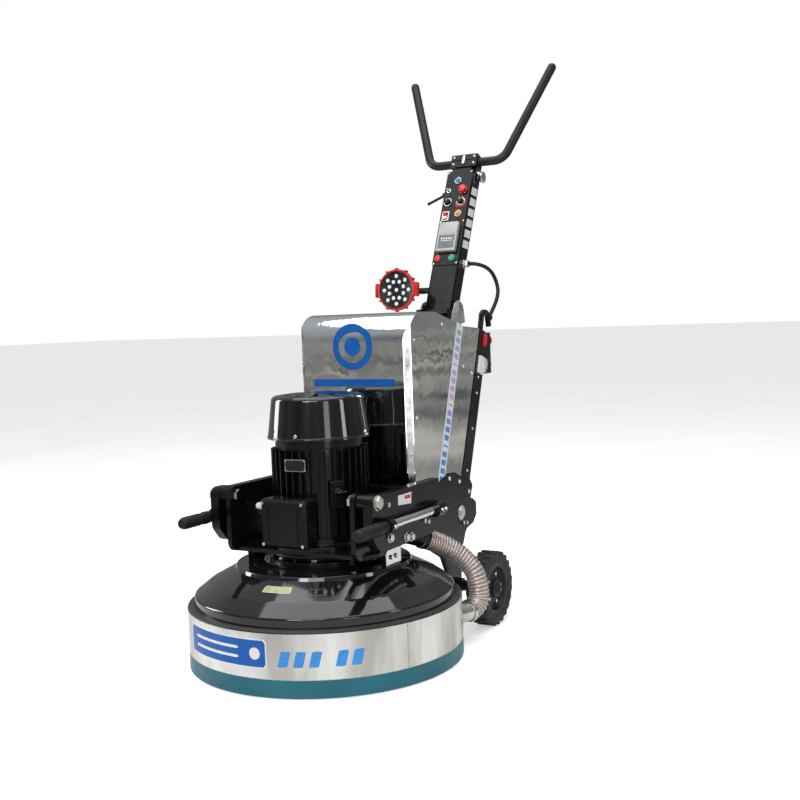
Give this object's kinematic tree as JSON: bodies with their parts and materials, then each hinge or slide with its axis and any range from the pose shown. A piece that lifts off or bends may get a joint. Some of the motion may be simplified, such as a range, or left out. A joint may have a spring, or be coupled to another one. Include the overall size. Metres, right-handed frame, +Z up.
{
  "type": "concrete grinder",
  "caption": "Walk-behind planetary floor grinder with a round floating shroud, upright motor on a hinged head, steel cabinet, two wheels, leaning control column and forked handlebar.",
  "frame": {"origin": "middle of the machine's footprint, on the floor", "axes": "+Z up, -Y towards the grinding head at the front, +X to the machine's right side seen from the front"},
  "size_m": [0.84, 1.6833, 1.9714],
  "materials": {
    "black_enamel": "gloss black enamel",
    "black_cast": "black enamelled casting",
    "polished_steel": "mirror-polished stainless",
    "brushed_band": "rolled stainless band",
    "machined_steel": "machined steel",
    "cast_aluminium": "cast aluminium",
    "teal_rubber": "moulded teal rubber",
    "black_rubber": "black rubber",
    "tyre_rubber": "solid black tyre",
    "zinc_bolts": "bright zinc",
    "chrome_tube": "bright chrome",
    "hose_plastic": "smoky ribbed hose, wire wound",
    "black_plastic": "moulded black",
    "red_plastic": "moulded red",
    "green_plastic": "moulded green",
    "red_light": "red enamel",
    "display_grey": "silver grey bezel",
    "inverter_grey": "grey inverter case"
  },
  "bodies": {
    "chassis": {"left_side_plate": "black_enamel", "right_side_plate": "black_enamel", "arm_frame": "black_enamel", "wheel_axle": "black_enamel", "rear_frame": "black_enamel", "cabinet_cover": "polished_steel", "motor_inverter": "inverter_grey", "isolator_box": "black_plastic", "dust_pipe": "black_enamel", "handle_guides": "chrome_tube", "chassis_bolts": "zinc_bolts", "pivot_pins": "zinc_bolts"},
    "isolator_knob": {"isolator_knob": "red_plastic"},
    "left_handle": {"left_carry_handle": "black_plastic"},
    "right_handle": {"right_carry_handle": "black_plastic"},
    "left_wheel": {"left_tyre": "tyre_rubber", "left_rim": "black_plastic"},
    "right_wheel": {"right_tyre": "tyre_rubber", "right_rim": "black_plastic"},
    "head": {"head_cover": "black_enamel", "bell_housing": "black_cast", "ring_gear": "machined_steel", "motor_frame": "black_cast", "fan_cowl": "black_enamel", "terminal_box": "black_cast", "terminal_lid": "black_enamel", "head_yoke": "black_enamel", "dust_port": "brushed_band", "head_bolts": "zinc_bolts", "dust_hose": "hose_plastic"},
    "shroud": {"shroud_band": "brushed_band", "shroud_skirt": "teal_rubber", "rim_seal": "black_rubber"},
    "rotor": {"rotor_shaft": "machined_steel", "cooling_fan": "black_plastic", "sun_gear": "machined_steel"},
    "carrier": {"carrier_plate": "cast_aluminium", "spindle_bearings": "machined_steel"},
    "column": {"column_tube": "black_enamel", "control_plate": "black_enamel", "display_unit": "display_grey", "handlebar_clamp": "black_enamel", "control_cable": "black_rubber"},
    "handlebar": {"handlebar": "black_enamel"},
    "work_light": {"work_light": "red_light"},
    "start_button": {"start_button": "green_plastic"},
    "stop_button": {"stop_button": "red_plastic"},
    "emergency_button": {"emergency_button": "red_plastic"},
    "speed_knob": {"speed_knob": "black_plastic"},
    "mode_knob": {"mode_knob": "black_plastic"},
    "rocker_switch": {"rocker_switch": "red_plastic"},
    "control_lever": {"control_lever": "black_enamel"},
    "planet_1": {"planet_spindle_1": "machined_steel", "grinding_disc_1": "machined_steel"},
    "planet_2": {"planet_spindle_2": "machined_steel", "grinding_disc_2": "machined_steel"},
    "planet_3": {"planet_spindle_3": "machined_steel", "grinding_disc_3": "machined_steel"},
    "planet_4": {"planet_spindle_4": "machined_steel", "grinding_disc_4": "machined_steel"}
  },
  "joints": [
    {"name": "left_wheel_spin", "type": "hinge", "parent": "chassis", "child": "left_wheel", "pos_m": [-0.3225, 0.07705, 0.124], "axis": [1, 0, 0], "continuous": true},
    {"name": "right_wheel_spin", "type": "hinge", "parent": "chassis", "child": "right_wheel", "pos_m": [0.3225, 0.07705, 0.124], "axis": [1, 0, 0], "continuous": true},
    {"name": "head_float", "type": "hinge", "parent": "chassis", "child": "head", "pos_m": [0, -0.57195, 0.512], "axis": [1, 0, 0], "range_deg": [-6, 1], "deforming": ["dust_hose"]},
    {"name": "shroud_float", "type": "slide", "parent": "head", "child": "shroud", "axis": [0, 0, 1], "range_m": [-0.0025, 0.01]},
    {"name": "carrier_spin", "type": "hinge", "parent": "head", "child": "carrier", "pos_m": [0, -0.42095, 0.165], "axis": [0, 0, 1], "continuous": true},
    {"name": "rotor_spin", "type": "hinge", "parent": "head", "child": "rotor", "pos_m": [0, -0.42095, 0.4], "axis": [0, 0, 1], "continuous": true},
    {"name": "planet_1_spin", "type": "hinge", "parent": "carrier", "child": "planet_1", "pos_m": [0.18031, -0.24064, 0.1], "axis": [0, 0, 1], "continuous": true},
    {"name": "planet_2_spin", "type": "hinge", "parent": "carrier", "child": "planet_2", "pos_m": [-0.18031, -0.24064, 0.1], "axis": [0, 0, 1], "continuous": true},
    {"name": "planet_3_spin", "type": "hinge", "parent": "carrier", "child": "planet_3", "pos_m": [-0.18031, -0.60126, 0.1], "axis": [0, 0, 1], "continuous": true},
    {"name": "planet_4_spin", "type": "hinge", "parent": "carrier", "child": "planet_4", "pos_m": [0.18031, -0.60126, 0.1], "axis": [0, 0, 1], "continuous": true},
    {"name": "column_tilt", "type": "hinge", "parent": "chassis", "child": "column", "pos_m": [0, 0.42215, 1.05647], "axis": [-1, 0, 0], "range_deg": [-24, 35], "deforming": ["control_cable"]},
    {"name": "handlebar_tilt", "type": "hinge", "parent": "column", "child": "handlebar", "pos_m": [0, 0.67015, 1.60831], "axis": [1, 0, 0], "range_deg": [-30, 30]},
    {"name": "work_light_tilt", "type": "hinge", "parent": "column", "child": "work_light", "pos_m": [-0.134, 0.40634, 1.13594], "axis": [1, 0, 0], "range_deg": [-25, 25]},
    {"name": "stop_button_press", "type": "slide", "parent": "column", "child": "stop_button", "axis": [0, 0.9121, -0.4099], "range_m": [0, 0.004], "stiffness_N_per_m": 400},
    {"name": "start_button_press", "type": "slide", "parent": "column", "child": "start_button", "axis": [0, 0.9121, -0.4099], "range_m": [0, 0.004], "stiffness_N_per_m": 400},
    {"name": "emergency_button_press", "type": "slide", "parent": "column", "child": "emergency_button", "axis": [0, 0.9121, -0.4099], "range_m": [0, 0.005], "stiffness_N_per_m": 600},
    {"name": "speed_knob_turn", "type": "hinge", "parent": "column", "child": "speed_knob", "pos_m": [-0.031, 0.56221, 1.45619], "axis": [0, -0.9121, 0.4099], "range_deg": [-135, 135]},
    {"name": "mode_knob_turn", "type": "hinge", "parent": "column", "child": "mode_knob", "pos_m": [0.023, 0.56221, 1.45619], "axis": [0, -0.9121, 0.4099], "range_deg": [-45, 45]},
    {"name": "rocker_switch_rock", "type": "hinge", "parent": "column", "child": "rocker_switch", "pos_m": [-0.031, 0.53843, 1.40328], "axis": [1, 0, 0], "range_deg": [0, 14]},
    {"name": "control_lever_turn", "type": "hinge", "parent": "column", "child": "control_lever", "pos_m": [-0.061, 0.60132, 1.48685], "axis": [1, 0, 0], "range_deg": [-25, 25]},
    {"name": "isolator_knob_turn", "type": "hinge", "parent": "chassis", "child": "isolator_knob", "pos_m": [0.183, 0.40505, 0.938], "axis": [0, 1, 0], "range_deg": [0, 90]},
    {"name": "left_handle_slide", "type": "slide", "parent": "chassis", "child": "left_handle", "axis": [0, -1, 0], "range_m": [0, 0.15]},
    {"name": "right_handle_slide", "type": "slide", "parent": "chassis", "child": "right_handle", "axis": [0, -1, 0], "range_m": [0, 0.15]}
  ],
  "couplings": [
    {"joint": "rotor_spin", "follows": "carrier_spin", "ratio": 3.0909},
    {"joint": "planet_1_spin", "follows": "carrier_spin", "ratio": -3.8333},
    {"joint": "planet_2_spin", "follows": "carrier_spin", "ratio": -3.8333},
    {"joint": "planet_3_spin", "follows": "carrier_spin", "ratio": -3.8333},
    {"joint": "planet_4_spin", "follows": "carrier_spin", "ratio": -3.8333}
  ]
}
